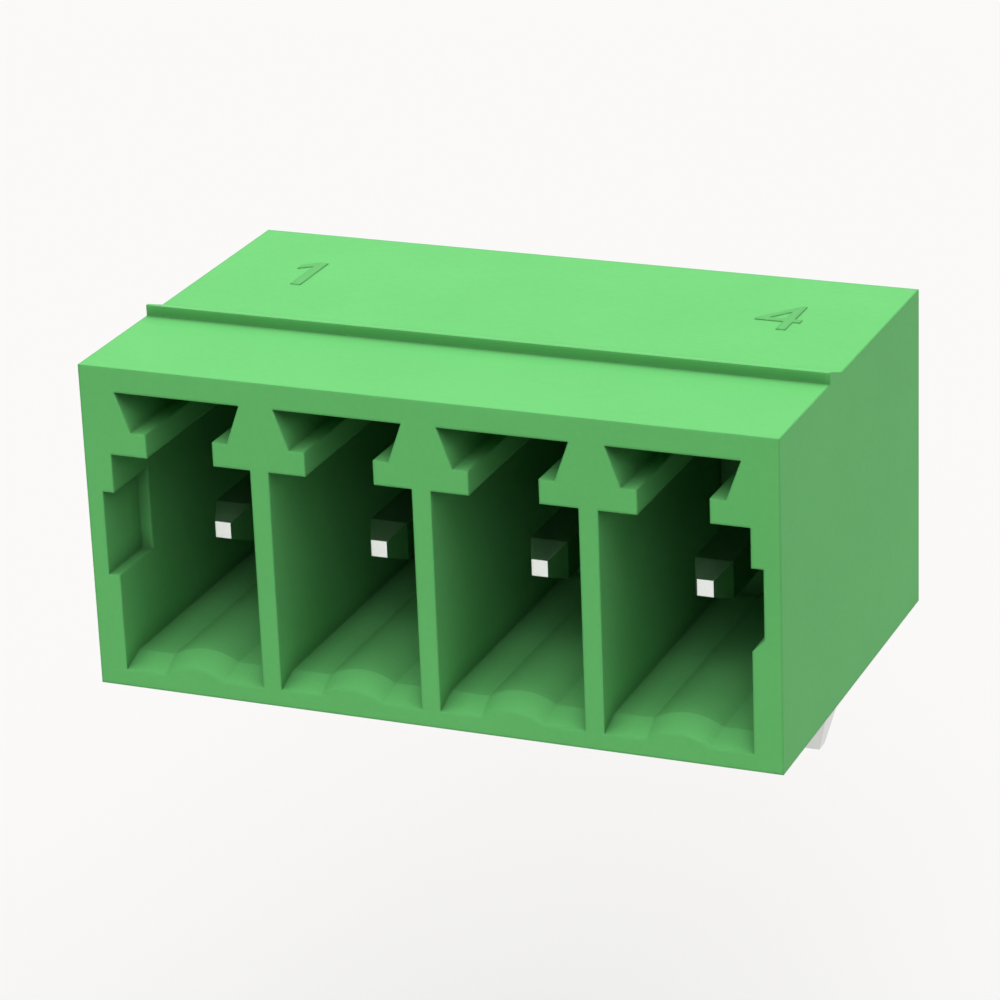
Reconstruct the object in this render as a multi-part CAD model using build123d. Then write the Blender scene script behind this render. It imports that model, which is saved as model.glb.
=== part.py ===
from build123d import *
import math
import os

# Four-way, right-angle board socket for a pluggable terminal block, closed at both ends.
# X runs along the row of contacts, the plug goes in towards +Y, and Z is up.
# The origin is on the board, in the middle of the row of solder tails.

# Row of contacts, and the walls between and beside the plug chambers
ways = 4
pitch = 3.50
partition_thickness = 0.40
end_wall_thickness = 0.60

# Heights, from the board upwards
floor_thickness = 0.57
plug_space_height = 4.53
bar_thickness = 0.51
slot_height = 0.84
roof_thickness = 0.52

# Lengths, from the front face backwards
pin_tip_setback = 1.70
chamber_depth = 7.10
rear_wall_thickness = 0.90
tail_cover = 0.25

# Hook bars along both sides of each chamber, with a flared slot above them
bar_reach = 0.81
slot_foot_inset = 0.48
slot_roof_inset = 0.17

# Rounded hump along the middle of each chamber floor
hump_width = 1.44
hump_height = 0.21

# Bevel over the front edge of each chamber floor
lead_in_length = 0.60
lead_in_drop = 0.20

# Keying recess in the inner face of each end wall: flat-footed on the left, slope-footed on the right
recess_depth = 0.25
recess_length = 1.52
recess_top_above_floor = 3.70
left_lip_above_floor = 1.89
left_foot_rise = 0.00
right_lip_above_floor = 1.97
right_foot_rise = 0.26

# Latching ridge across the roof
ridge_setback = 3.10
ridge_height = 0.23
ridge_crest = 0.08
ridge_ramp = 0.65

# Square contact pins, bent down behind the rear wall
pin_size = 0.80
pin_above_floor = 2.41
pin_bend_radius = 0.75
tip_size = 0.35
tip_taper = 0.55
tail_length = 3.40
tail_end_size = 0.36
tail_taper = 0.85

# Room for the pins in their passages and rear slots
passage_clearance = 0.01
slot_side_gap = 0.12
slot_headroom = 0.10

# Places that follow from the sizes above
chamber_width = pitch - partition_thickness
chamber_places = [pitch * (way - (ways - 1) / 2) for way in range(ways)]
end_wall_face_x = chamber_places[-1] + chamber_width / 2
housing_width = 2 * (end_wall_face_x + end_wall_thickness)

bar_bottom_z = floor_thickness + plug_space_height
bar_top_z = bar_bottom_z + bar_thickness
ceiling_z = bar_top_z + slot_height
roof_z = ceiling_z + roof_thickness
pin_z = floor_thickness + pin_above_floor

tail_front_y = -pin_size / 2
rear_y = pin_size / 2 + tail_cover
chamber_back_y = tail_front_y - rear_wall_thickness
front_y = chamber_back_y - chamber_depth
pin_tip_y = front_y + pin_tip_setback

# How far a cutting shape reaches past the face that it opens
overcut = 0.50


def seen_from_front(y):
    """Plane for a section at one depth, with X across and Z up. Its normal points forwards."""
    return Plane(origin=(0, y, 0), x_dir=(1, 0, 0), z_dir=(0, -1, 0))


def square_across(path, position, size):
    """Square section of a pin, across its path at one end."""
    place = path @ position
    return Plane(origin=place, x_dir=(1, 0, 0), z_dir=path % position) * Rectangle(size, size)


def body():
    """The moulding's outside: its side view, latching ridge included, drawn out along the row."""
    ridge_y = front_y + ridge_setback
    ramp_y = ridge_y + ridge_crest
    ridge_z = roof_z + ridge_height
    side_view = Polyline(
        (front_y, 0),
        (rear_y, 0),
        (rear_y, roof_z),
        (ramp_y + ridge_ramp, roof_z),
        (ramp_y, ridge_z),
        (ridge_y, ridge_z),
        (ridge_y, roof_z),
        (front_y, roof_z),
        close=True,
    )
    return extrude(Plane.YZ * make_face(side_view), amount=housing_width / 2, both=True)


def plug_space(drop):
    """Section of a chamber below its hook bars. Floor and hump are set back by drop, in parallel."""
    half_width = chamber_width / 2
    hump_radius = (hump_width ** 2 / 4 + hump_height ** 2) / (2 * hump_height)
    hump_centre_z = floor_thickness + hump_height - hump_radius
    floor_z = floor_thickness - drop
    radius = hump_radius - drop
    half_chord = math.sqrt(radius ** 2 - (floor_z - hump_centre_z) ** 2)
    hump = ThreePointArc((-half_chord, floor_z), (0, hump_centre_z + radius), (half_chord, floor_z))
    walls = Polyline(
        (half_chord, floor_z),
        (half_width, floor_z),
        (half_width, bar_bottom_z),
        (-half_width, bar_bottom_z),
        (-half_width, floor_z),
        (-half_chord, floor_z),
    )
    return make_face(Curve() + [hump, walls])


def hook_space():
    """Section of a chamber between and above its hook bars, flaring towards the roof."""
    half_width = chamber_width / 2
    right_side = [
        (half_width - bar_reach, bar_bottom_z - overcut),
        (half_width - bar_reach, bar_top_z),
        (half_width - slot_foot_inset, bar_top_z),
        (half_width - slot_roof_inset, ceiling_z),
    ]
    left_side = [(-x, z) for x, z in reversed(right_side)]
    return make_face(Polyline(*right_side, *left_side, close=True))


def chamber():
    """Hollow for one pole of the plug, with the bevel that leads it in over the floor."""
    section = plug_space(0) + hook_space()
    hollow = extrude(seen_from_front(front_y) * section, amount=-chamber_depth)
    lead_in = loft(
        [
            seen_from_front(front_y) * plug_space(lead_in_drop),
            seen_from_front(front_y + lead_in_length) * plug_space(0),
        ],
        ruled=True,
    )
    return hollow + lead_in


def end_wall_recess(lip_above_floor, foot_rise):
    """Pocket in the inner face of the right end wall. Its foot rises by foot_rise into the wall."""
    lip_z = floor_thickness + lip_above_floor
    top_z = floor_thickness + recess_top_above_floor
    section = Polyline(
        (end_wall_face_x, lip_z),
        (end_wall_face_x + recess_depth, lip_z + foot_rise),
        (end_wall_face_x + recess_depth, top_z),
        (end_wall_face_x - overcut, top_z),
        (end_wall_face_x - overcut, lip_z),
        close=True,
    )
    return extrude(seen_from_front(front_y) * make_face(section), amount=recess_length, both=True)


def pin_route(start_y, end_z):
    """Centre line of a pin: straight in from the plug side, round the bend, and down."""
    return FilletPolyline((0, start_y, pin_z), (0, 0, pin_z), (0, 0, end_z), radius=pin_bend_radius)


def pin_passage():
    """Square way through the rear wall, and the slot behind it, open to the rear and the board."""
    route = pin_route(chamber_back_y - overcut, -overcut)
    bore = sweep(square_across(route, 0, pin_size + 2 * passage_clearance), path=route)
    slot_width = pin_size + 2 * slot_side_gap
    slot_top_z = pin_z + pin_size / 2 + slot_headroom
    slot_front_y = tail_front_y - passage_clearance
    rear_view = Polyline(
        (-slot_width / 2, -overcut),
        (slot_width / 2, -overcut),
        (slot_width / 2, slot_top_z),
        (-slot_width / 2, slot_top_z),
        close=True,
    )
    slot_length = rear_y - slot_front_y + overcut
    return bore + extrude(seen_from_front(slot_front_y) * make_face(rear_view), amount=-slot_length)


def housing():
    """The whole moulding, with one chamber and one pin passage for each way."""
    shell = body()
    hollow = chamber()
    passage = pin_passage()
    for x in chamber_places:
        shell -= Pos(x, 0, 0) * hollow
        shell -= Pos(x, 0, 0) * passage
    right_recess = end_wall_recess(right_lip_above_floor, right_foot_rise)
    left_recess = mirror(end_wall_recess(left_lip_above_floor, left_foot_rise), about=Plane.YZ)
    return shell - right_recess - left_recess


def contact_pin():
    """One square pin with a tapered tip in its chamber and a tapered solder tail."""
    shank_route = pin_route(pin_tip_y + tip_taper, tail_taper - tail_length)
    whole_route = pin_route(pin_tip_y, -tail_length)
    shank = sweep(square_across(shank_route, 0, pin_size), path=shank_route)
    tip = loft([square_across(whole_route, 0, tip_size), square_across(shank_route, 0, pin_size)])
    tail = loft([square_across(shank_route, 1, pin_size), square_across(whole_route, 1, tail_end_size)])
    return shank + tip + tail


os.makedirs("parts", exist_ok=True)
export_step(housing(), "parts/housing.step")
for way, x in enumerate(chamber_places, start=1):
    export_step(Pos(x, 0, 0) * contact_pin(), f"parts/contact_pin_{way}.step")
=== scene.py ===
import math

import bpy
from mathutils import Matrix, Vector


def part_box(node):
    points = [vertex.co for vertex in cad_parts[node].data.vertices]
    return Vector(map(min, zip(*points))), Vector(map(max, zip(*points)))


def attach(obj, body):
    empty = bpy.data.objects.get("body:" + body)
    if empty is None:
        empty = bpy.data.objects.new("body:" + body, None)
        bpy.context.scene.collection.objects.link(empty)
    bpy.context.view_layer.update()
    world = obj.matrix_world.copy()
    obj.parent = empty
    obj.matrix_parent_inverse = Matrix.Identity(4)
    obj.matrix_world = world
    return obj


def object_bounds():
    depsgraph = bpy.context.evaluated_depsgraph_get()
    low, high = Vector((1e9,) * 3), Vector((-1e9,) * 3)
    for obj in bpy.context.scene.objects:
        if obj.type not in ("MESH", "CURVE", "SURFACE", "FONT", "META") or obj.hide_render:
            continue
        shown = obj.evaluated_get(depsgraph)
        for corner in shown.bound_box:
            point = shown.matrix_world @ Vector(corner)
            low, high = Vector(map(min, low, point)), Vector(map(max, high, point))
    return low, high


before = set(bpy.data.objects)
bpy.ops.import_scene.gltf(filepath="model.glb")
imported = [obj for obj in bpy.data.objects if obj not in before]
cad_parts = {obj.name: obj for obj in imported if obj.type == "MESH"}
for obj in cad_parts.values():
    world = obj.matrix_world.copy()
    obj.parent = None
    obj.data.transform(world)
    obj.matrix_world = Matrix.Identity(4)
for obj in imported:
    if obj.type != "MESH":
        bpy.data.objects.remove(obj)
cad_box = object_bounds()

MM = 0.001

# Camera, fitted to the edges of the housing in the photograph
CAMERA_PLACE = (30.992 * MM, -77.885 * MM, 34.909 * MM)
CAMERA_TURN = (68.4087, 2.1040, 22.0489)
CAMERA_LENS = 150.293
CAMERA_SENSOR_WIDTH = 36
CAMERA_CLIP = (1 * MM, 20)

# Lamps: a wide soft one overhead, and weaker ones in front and at the right
# Each has a strength, an angular width, and the place its light comes from: degrees round from
# the front towards the right, and degrees up
LAMPS = {
    "overhead": (2.95, 80, 0, 90),
    "front": (1.0, 35, 14, 42),
    "right": (0.3, 50, 75, 35),
}

# Pale surround and pale matte floor, which look lighter than the light that they throw on the object
SURROUND_LIGHT = 0.05
PALE_SEEN = (0.97, 0.96, 0.95)
FLOOR_COLOR = (0.50, 0.495, 0.49)
FLOOR_COLOR_SEEN = (0.75, 0.74, 0.735)
FLOOR_PALE_SHARE = 0.75
FLOOR_ROUGHNESS = 0.9
FLOOR_CLOUD_SIZE = 60 * MM
FLOOR_CLOUD_SHADE = 0.995
FLOOR_GRAIN_SIZE = 0.6 * MM
FLOOR_GRAIN_HEIGHT = 0.01 * MM
FLOOR_GRAIN_STRENGTH = 0.1
FLOOR_HALF_SIZE = 0.8
FLOOR_GAP = 7 * MM

# Values of a noise between which its effect runs from one end to the other
NOISE_SPAN = (0.3, 0.7)

# Rays for each look at hollows and rounded edges
HOLLOW_RAYS = 4
EDGE_RAYS = 4

# Moulded green polyamide, with painted shade in its nooks and creases: the colour is darkened there, and
# greyed in the nooks, to stand in for the shade that falls there
# Each painted shade fades from full to none as the open share of the space within its reach grows over its
# span
PLASTIC_COLOR = (0.142, 0.565, 0.160)
PLASTIC_SHADE = 0.94
PLASTIC_ROUGHNESS = (0.50, 0.62)
PLASTIC_SPECULAR = 0.15
PLASTIC_FLOW_SIZE = 2.4 * MM
PLASTIC_FLOW_SHARE = 0.5
PLASTIC_GRAIN_SIZE = 0.045 * MM
PLASTIC_GRAIN_HEIGHT = 0.0022 * MM
PLASTIC_SPECKLE_SIZE = 3 * PLASTIC_GRAIN_SIZE
PLASTIC_SPECKLE_SHARE = 0.3
PLASTIC_EDGE_RADIUS = 0.08 * MM
PLASTIC_NOOK_REACH = 5.0 * MM
PLASTIC_NOOK_PAINTED_SHADE = (0.87, 0.72, 0.86)
PLASTIC_NOOK_SPAN = (0.15, 0.9)
PLASTIC_CREASE_REACH = 0.5 * MM
PLASTIC_CREASE_PAINTED_SHADE = (0.52, 0.52, 0.52)
PLASTIC_CREASE_SPAN = (0.45, 0.9)

# Raised pole numbers on the roof, behind the latching ridge, each with a root sunk in the roof
POLE_NUMBERS = {"1": "contact_pin_1", "4": "contact_pin_4"}
NUMBER_SIZE = 2.1 * MM
NUMBER_MIDDLE_Y = -1.9 * MM
NUMBER_HEIGHT = 0.018 * MM
NUMBER_EDGE = 0.012 * MM
NUMBER_EDGE_STEPS = 2
NUMBER_ROOT = 0.03 * MM
NUMBER_TONE = 0.82

# Outline of the figure 1 in shares of the number's size, because the font's own is a plain bar
FIGURE_ONE = (
    (0.055, -0.345),
    (0.055, 0.345),
    (-0.040, 0.345),
    (-0.190, 0.235),
    (-0.190, 0.120),
    (-0.055, 0.215),
    (-0.055, -0.345),
)

# Corners this near to the rear face count as lying on it
REAR_EDGE_REACH = 0.01 * MM

# Tin plating on the pins: bright where the plug makes contact, and matte from inside the rear wall
# to the tails. The finish changes between the two values of Y. Deep in a chamber the tin has painted
# shade and a painted green reflection of the walls.
TIN_COLOR = (0.97, 0.97, 0.96)
TIN_ROUGHNESS = (0.32, 0.40)
TIN_CLOUD_SIZE = 0.35 * MM
TIN_CLOUD_SHADE = 0.95
TIN_GRAIN_SIZE = 0.09 * MM
TIN_GRAIN_HEIGHT = 0.0001 * MM
TIN_EDGE_RADIUS = 0.025 * MM
TIN_NOOK_REACH = 5.0 * MM
TIN_NOOK_PAINTED_SHADE_AND_REFLECTION = (0.18, 0.40, 0.21)
TIN_NOOK_SPAN = (0.15, 0.5)
TAIL_COLOR = (0.84, 0.84, 0.83)
TAIL_METAL = 0.75
TAIL_ROUGHER = 0.12
TAIL_FROM_Y = -0.9 * MM
TAIL_TO_Y = -0.6 * MM


class Nodes:
    """Short calls for building the node tree of a material or of the world."""

    def __init__(self, owner, output="ShaderNodeOutputMaterial"):
        self.owner = owner
        self.owner.use_nodes = True
        self.tree = self.owner.node_tree
        self.tree.nodes.clear()
        self.output = self.tree.nodes.new(output)

    def add(self, kind, inputs=None, **settings):
        """A node, whose inputs are values or the outputs of other nodes."""
        node = self.tree.nodes.new(kind)
        for key, value in settings.items():
            setattr(node, key, value)
        for key, value in (inputs or {}).items():
            if isinstance(value, bpy.types.NodeSocket):
                self.tree.links.new(value, node.inputs[key])
            else:
                node.inputs[key].default_value = value
        return node

    def place(self):
        """Place on the object, in metres."""
        return self.add("ShaderNodeTexCoord").outputs["Object"]

    def noise(self, size, detail=2.0, roughness=0.5):
        """Soft random values from 0 to 1, with features of about this size."""
        inputs = {"Vector": self.place(), "Scale": 1 / size, "Detail": detail, "Roughness": roughness}
        return self.add("ShaderNodeTexNoise", inputs).outputs["Fac"]

    def spread(self, value, low, high, start=0.0, end=1.0):
        """From low to high as the value goes from start to end."""
        inputs = {"Value": value, "From Min": start, "From Max": end, "To Min": low, "To Max": high}
        return self.add("ShaderNodeMapRange", inputs).outputs["Result"]

    def math(self, kind, first, second):
        return self.add("ShaderNodeMath", {0: first, 1: second}, operation=kind).outputs[0]

    def mix_color(self, amount, first, second, kind="MIX"):
        node = self.add("ShaderNodeMix", {"Factor": amount}, data_type="RGBA", blend_type=kind)
        for socket, value in (("A", first), ("B", second)):
            target = [s for s in node.inputs if s.name == socket and s.type == "RGBA"][0]
            if isinstance(value, bpy.types.NodeSocket):
                self.tree.links.new(value, target)
            else:
                target.default_value = (*value, 1)
        return [s for s in node.outputs if s.type == "RGBA"][0]

    def times(self, color, shade):
        """A colour multiplied by another."""
        return self.mix_color(1.0, color, shade, kind="MULTIPLY")

    def paint_hollow_shade(self, color, reach, shade, span):
        """A colour multiplied by a painted shade where walls stand close round a place, in place of the
        shade that falls there.
        """
        hollow = self.add("ShaderNodeAmbientOcclusion", {"Distance": reach}, samples=HOLLOW_RAYS)
        painted_dark = self.times(color, shade)
        return self.mix_color(self.spread(hollow.outputs["AO"], 0, 1, *span), painted_dark, color)

    def grained(self, grain, height, edge_radius):
        """Normal of a surface with grain of this height and softly rounded edges."""
        rounded = self.add("ShaderNodeBevel", {"Radius": edge_radius}, samples=EDGE_RAYS)
        inputs = {"Strength": 1.0, "Distance": height, "Height": grain, "Normal": rounded.outputs[0]}
        return self.add("ShaderNodeBump", inputs).outputs[0]

    def seen_directly(self):
        """1 for a ray from the camera, a reflection or a transmission, and 0 for other light."""
        path = self.add("ShaderNodeLightPath")
        seen = self.math("MAXIMUM", path.outputs["Is Camera Ray"], path.outputs["Is Glossy Ray"])
        return self.math("MAXIMUM", seen, path.outputs["Is Transmission Ray"])

    def finish(self, shader):
        """Sends a shader to the output, and gives back the material or world."""
        self.tree.links.new(shader.outputs[0], self.output.inputs["Surface"])
        return self.owner


def plastic_material(name, tone=1.0):
    """Matte moulded plastic with spark-eroded grain, faint flow marks, softly rounded edges, and painted
    shade in its nooks and creases.
    """
    n = Nodes(bpy.data.materials.new(name))
    flow = n.noise(PLASTIC_FLOW_SIZE, detail=3)
    speckle = n.noise(PLASTIC_SPECKLE_SIZE, detail=2)
    variation = n.math(
        "ADD",
        n.spread(flow, -PLASTIC_FLOW_SHARE, PLASTIC_FLOW_SHARE, *NOISE_SPAN),
        n.spread(speckle, -PLASTIC_SPECKLE_SHARE, PLASTIC_SPECKLE_SHARE, *NOISE_SPAN),
    )
    most = PLASTIC_FLOW_SHARE + PLASTIC_SPECKLE_SHARE
    light = tuple(tone * c for c in PLASTIC_COLOR)
    shade = tuple(PLASTIC_SHADE * c for c in light)
    color = n.mix_color(n.spread(variation, 0, 1, -most, most), shade, light)
    # Painted shade: darker in the chambers' hollows and along inner corners, where shade falls
    color = n.paint_hollow_shade(color, PLASTIC_NOOK_REACH, PLASTIC_NOOK_PAINTED_SHADE, PLASTIC_NOOK_SPAN)
    color = n.paint_hollow_shade(color, PLASTIC_CREASE_REACH, PLASTIC_CREASE_PAINTED_SHADE, PLASTIC_CREASE_SPAN)
    grain = n.noise(PLASTIC_GRAIN_SIZE, detail=4, roughness=0.6)
    shader = n.add(
        "ShaderNodeBsdfPrincipled",
        {
            "Base Color": color,
            "Roughness": n.spread(grain, *PLASTIC_ROUGHNESS, *NOISE_SPAN),
            "Specular IOR Level": PLASTIC_SPECULAR,
            "Normal": n.grained(grain, PLASTIC_GRAIN_HEIGHT, PLASTIC_EDGE_RADIUS),
        },
    )
    return n.finish(shader)


def tin_material():
    """Tin plating, matte on the tails, with a fine uneven grain, softly rounded edges, and painted shade
    and a painted green reflection deep in the chambers.
    """
    n = Nodes(bpy.data.materials.new("pin_tin_satin"))
    depth = n.add("ShaderNodeSeparateXYZ", {"Vector": n.place()}).outputs["Y"]
    tail = n.spread(depth, 0, 1, TAIL_FROM_Y, TAIL_TO_Y)
    cloud = n.noise(TIN_CLOUD_SIZE, detail=3)
    color = n.mix_color(tail, TIN_COLOR, TAIL_COLOR)
    shade = n.times(color, (TIN_CLOUD_SHADE,) * 3)
    color = n.mix_color(n.spread(cloud, 0, 1, *NOISE_SPAN), shade, color)
    # Painted shade and painted green reflection where the chamber walls close round the pins
    color = n.paint_hollow_shade(color, TIN_NOOK_REACH, TIN_NOOK_PAINTED_SHADE_AND_REFLECTION, TIN_NOOK_SPAN)
    roughness = n.math("ADD", n.spread(cloud, *TIN_ROUGHNESS, *NOISE_SPAN), n.spread(tail, 0, TAIL_ROUGHER))
    grain = n.noise(TIN_GRAIN_SIZE, detail=3)
    shader = n.add(
        "ShaderNodeBsdfPrincipled",
        {
            "Base Color": color,
            "Metallic": n.spread(tail, 1, TAIL_METAL),
            "Roughness": roughness,
            "Normal": n.grained(grain, TIN_GRAIN_HEIGHT, TIN_EDGE_RADIUS),
        },
    )
    return n.finish(shader)


def floor_material():
    """Pale matte studio board that keeps a soft shadow."""
    n = Nodes(bpy.data.materials.new("floor_pale"))
    seen = n.seen_directly()
    cloud = n.spread(n.noise(FLOOR_CLOUD_SIZE, detail=3), 0, 1, *NOISE_SPAN)
    color = n.mix_color(seen, FLOOR_COLOR, FLOOR_COLOR_SEEN)
    color = n.mix_color(cloud, n.times(color, (FLOOR_CLOUD_SHADE,) * 3), color)
    grain = n.noise(FLOOR_GRAIN_SIZE, detail=2)
    bump = n.add(
        "ShaderNodeBump",
        {"Strength": FLOOR_GRAIN_STRENGTH, "Distance": FLOOR_GRAIN_HEIGHT, "Height": grain},
    )
    board = n.add(
        "ShaderNodeBsdfPrincipled",
        {
            "Base Color": color,
            "Roughness": FLOOR_ROUGHNESS,
            "Specular IOR Level": 0.0,
            "Normal": bump.outputs[0],
        },
    )
    pale = n.add("ShaderNodeEmission", {"Color": (*PALE_SEEN, 1), "Strength": 1.0})
    share = n.math("MULTIPLY", seen, FLOOR_PALE_SHARE)
    return n.finish(n.add("ShaderNodeMixShader", {0: share, 1: board.outputs[0], 2: pale.outputs[0]}))


def roof_level():
    """Height of the roof behind the ridge, read at the rear edge of the housing."""
    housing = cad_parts["housing"]
    corners = [housing.matrix_world @ vertex.co for vertex in housing.data.vertices]
    rear = max(corner.y for corner in corners)
    return max(corner.z for corner in corners if corner.y > rear - REAR_EDGE_REACH)


def drawn_one():
    """The figure 1, with the short flag that the font leaves out."""
    curve = bpy.data.curves.new("number", "CURVE")
    curve.dimensions = "2D"
    outline = curve.splines.new("POLY")
    outline.points.add(len(FIGURE_ONE) - 1)
    for point, (x, y) in zip(outline.points, FIGURE_ONE):
        point.co = (x * NUMBER_SIZE, y * NUMBER_SIZE, 0, 1)
    outline.use_cyclic_u = True
    return curve


def written(digit):
    """A figure from the font."""
    text = bpy.data.curves.new("number", "FONT")
    text.body = digit
    text.size = NUMBER_SIZE
    text.align_x = "CENTER"
    text.align_y = "CENTER"
    return text


def raised(figure):
    """Mesh of a figure with bevelled edges, as deep as its relief and its root in the roof."""
    figure.fill_mode = "BOTH"
    figure.extrude = (NUMBER_HEIGHT + NUMBER_ROOT) / 2 - NUMBER_EDGE
    figure.bevel_depth = NUMBER_EDGE
    figure.bevel_resolution = NUMBER_EDGE_STEPS
    figure.offset = -NUMBER_EDGE
    shape = bpy.data.objects.new("number", figure)
    bpy.context.scene.collection.objects.link(shape)
    mesh = bpy.data.meshes.new_from_object(shape.evaluated_get(bpy.context.evaluated_depsgraph_get()))
    bpy.data.objects.remove(shape)
    return mesh


def make_numbers(plastic):
    """Plain raised numbers of the first and last pole, standing on the roof."""
    middle_z = roof_level() + (NUMBER_HEIGHT - NUMBER_ROOT) / 2
    for digit, pin in POLE_NUMBERS.items():
        low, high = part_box(pin)
        mesh = raised(drawn_one() if digit == "1" else written(digit))
        mesh.materials.clear()
        mesh.materials.append(plastic)
        piece = bpy.data.objects.new(f"pole_number_{digit}", mesh)
        piece.location = ((low[0] + high[0]) / 2, NUMBER_MIDDLE_Y, middle_z)
        bpy.context.scene.collection.objects.link(piece)
        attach(piece, "root")


def wear_materials(plastic, tin):
    """Gives each part of the frame its finish."""
    for name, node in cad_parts.items():
        material = plastic if name == "housing" else tin
        for slot in node.material_slots:
            slot.material = material


def make_floor():
    """Studio floor, a little below the ends of the tails."""
    floor_z = cad_box[0][2] - FLOOR_GAP
    bpy.ops.mesh.primitive_plane_add(size=2 * FLOOR_HALF_SIZE, location=(0, 0, floor_z))
    floor = bpy.context.object
    floor.name = "studio_floor"
    floor.data.materials.append(floor_material())


def make_lamps():
    for name, (strength, width, azimuth, elevation) in LAMPS.items():
        data = bpy.data.lights.new(name, "SUN")
        data.energy = strength
        data.angle = math.radians(width)
        lamp = bpy.data.objects.new(name, data)
        lamp.rotation_euler = (math.radians(90 - elevation), 0, math.radians(azimuth))
        bpy.context.scene.collection.objects.link(lamp)


def make_surround():
    """World that lights the object a little, and is seen as a pale background."""
    world = bpy.data.worlds.new("surround")
    bpy.context.scene.world = world
    n = Nodes(world, "ShaderNodeOutputWorld")
    light = n.add("ShaderNodeBackground", {"Color": (1, 1, 1, 1), "Strength": SURROUND_LIGHT})
    pale = n.add("ShaderNodeBackground", {"Color": (*PALE_SEEN, 1), "Strength": 1.0})
    seen = n.seen_directly()
    n.finish(n.add("ShaderNodeMixShader", {0: seen, 1: light.outputs[0], 2: pale.outputs[0]}))


def make_camera():
    data = bpy.data.cameras.new("camera")
    data.lens = CAMERA_LENS
    data.sensor_width = CAMERA_SENSOR_WIDTH
    data.clip_start, data.clip_end = CAMERA_CLIP
    camera = bpy.data.objects.new("camera", data)
    camera.location = CAMERA_PLACE
    camera.rotation_euler = [math.radians(angle) for angle in CAMERA_TURN]
    bpy.context.scene.collection.objects.link(camera)
    bpy.context.scene.camera = camera


wear_materials(plastic_material("housing_green_moulded"), tin_material())
make_numbers(plastic_material("housing_green_number", NUMBER_TONE))
make_floor()
make_lamps()
make_surround()
make_camera()
bpy.context.scene.view_settings.view_transform = "Standard"
